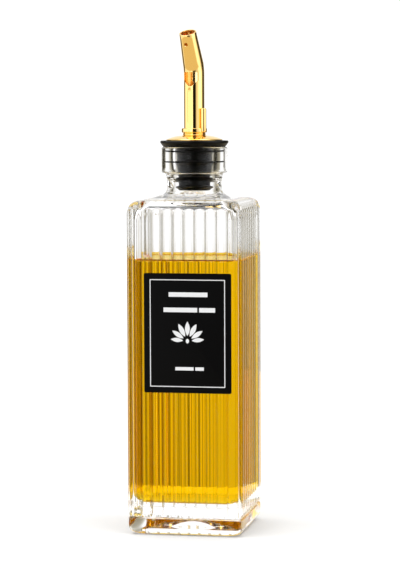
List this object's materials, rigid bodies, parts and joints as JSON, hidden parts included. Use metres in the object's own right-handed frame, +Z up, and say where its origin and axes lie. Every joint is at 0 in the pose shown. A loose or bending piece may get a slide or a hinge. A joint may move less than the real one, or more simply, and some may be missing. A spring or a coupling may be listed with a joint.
{
  "type": "glass oil dispenser",
  "caption": "Square ribbed glass bottle of olive oil with a plain black label, a rubber stopper and a bent gold-coloured pouring spout.",
  "frame": {"origin": "middle of the foot, on the surface the bottle stands on", "axes": "+Z up through the neck; -Y is the front, which carries the label; +X is to the right of someone who looks at the label"},
  "size_m": [0.0594, 0.0601, 0.2577],
  "materials": {
    "clear_glass": "clear, polished",
    "olive_oil": "clear golden liquid",
    "black_card": "matt black label with light print",
    "black_rubber": "satin black",
    "gold_plate": "polished gold-coloured plate"
  },
  "bodies": {
    "root": {"bottle": "clear_glass", "oil": "olive_oil", "label": "black_card", "stopper": "black_rubber", "dome": "gold_plate", "spout": "gold_plate", "breather": "gold_plate"}
  },
  "joints": []
}
